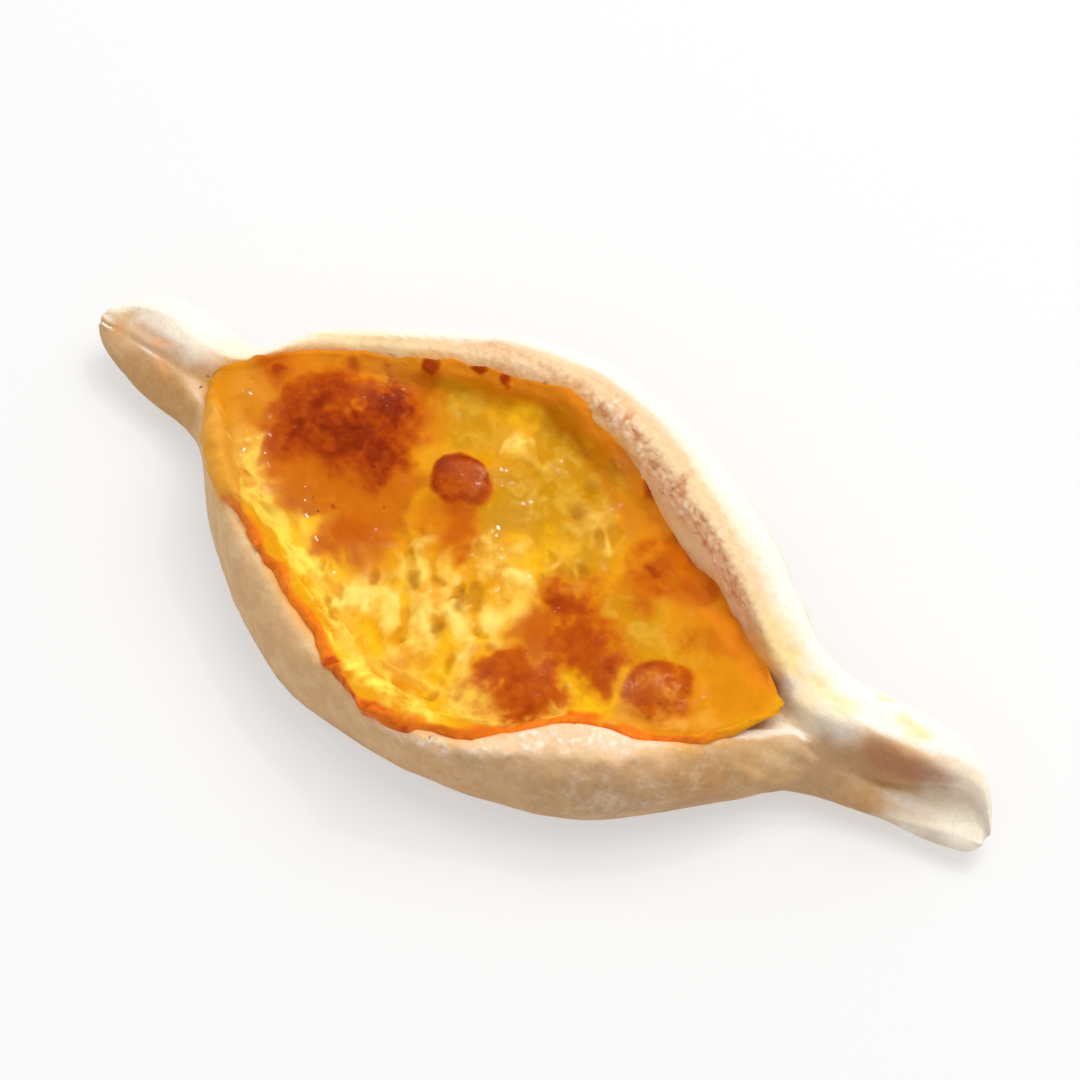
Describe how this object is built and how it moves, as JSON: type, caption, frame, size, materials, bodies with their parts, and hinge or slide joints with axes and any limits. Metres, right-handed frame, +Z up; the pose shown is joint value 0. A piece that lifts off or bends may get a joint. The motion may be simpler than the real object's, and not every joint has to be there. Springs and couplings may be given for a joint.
{
  "type": "cheese fatayer",
  "caption": "Boat-shaped baked dough with both ends pinched shut and folded over, its open middle filled with melted, browned cheese.",
  "frame": {"origin": "middle of the underside, on the surface that the boat rests on", "axes": "+X along the boat from its left tip to its right tip, -Y towards the side that the pinched ends lean to, +Z up out of the cheese"},
  "size_m": [0.165, 0.0732, 0.0238],
  "materials": {
    "baked_dough": "dry, floury baked crust, browned along the rim",
    "melted_cheese": "oily melted cheese with browned blisters"
  },
  "bodies": {
    "root": {"dough_boat": "baked_dough", "cheese_filling": "melted_cheese"}
  },
  "joints": []
}
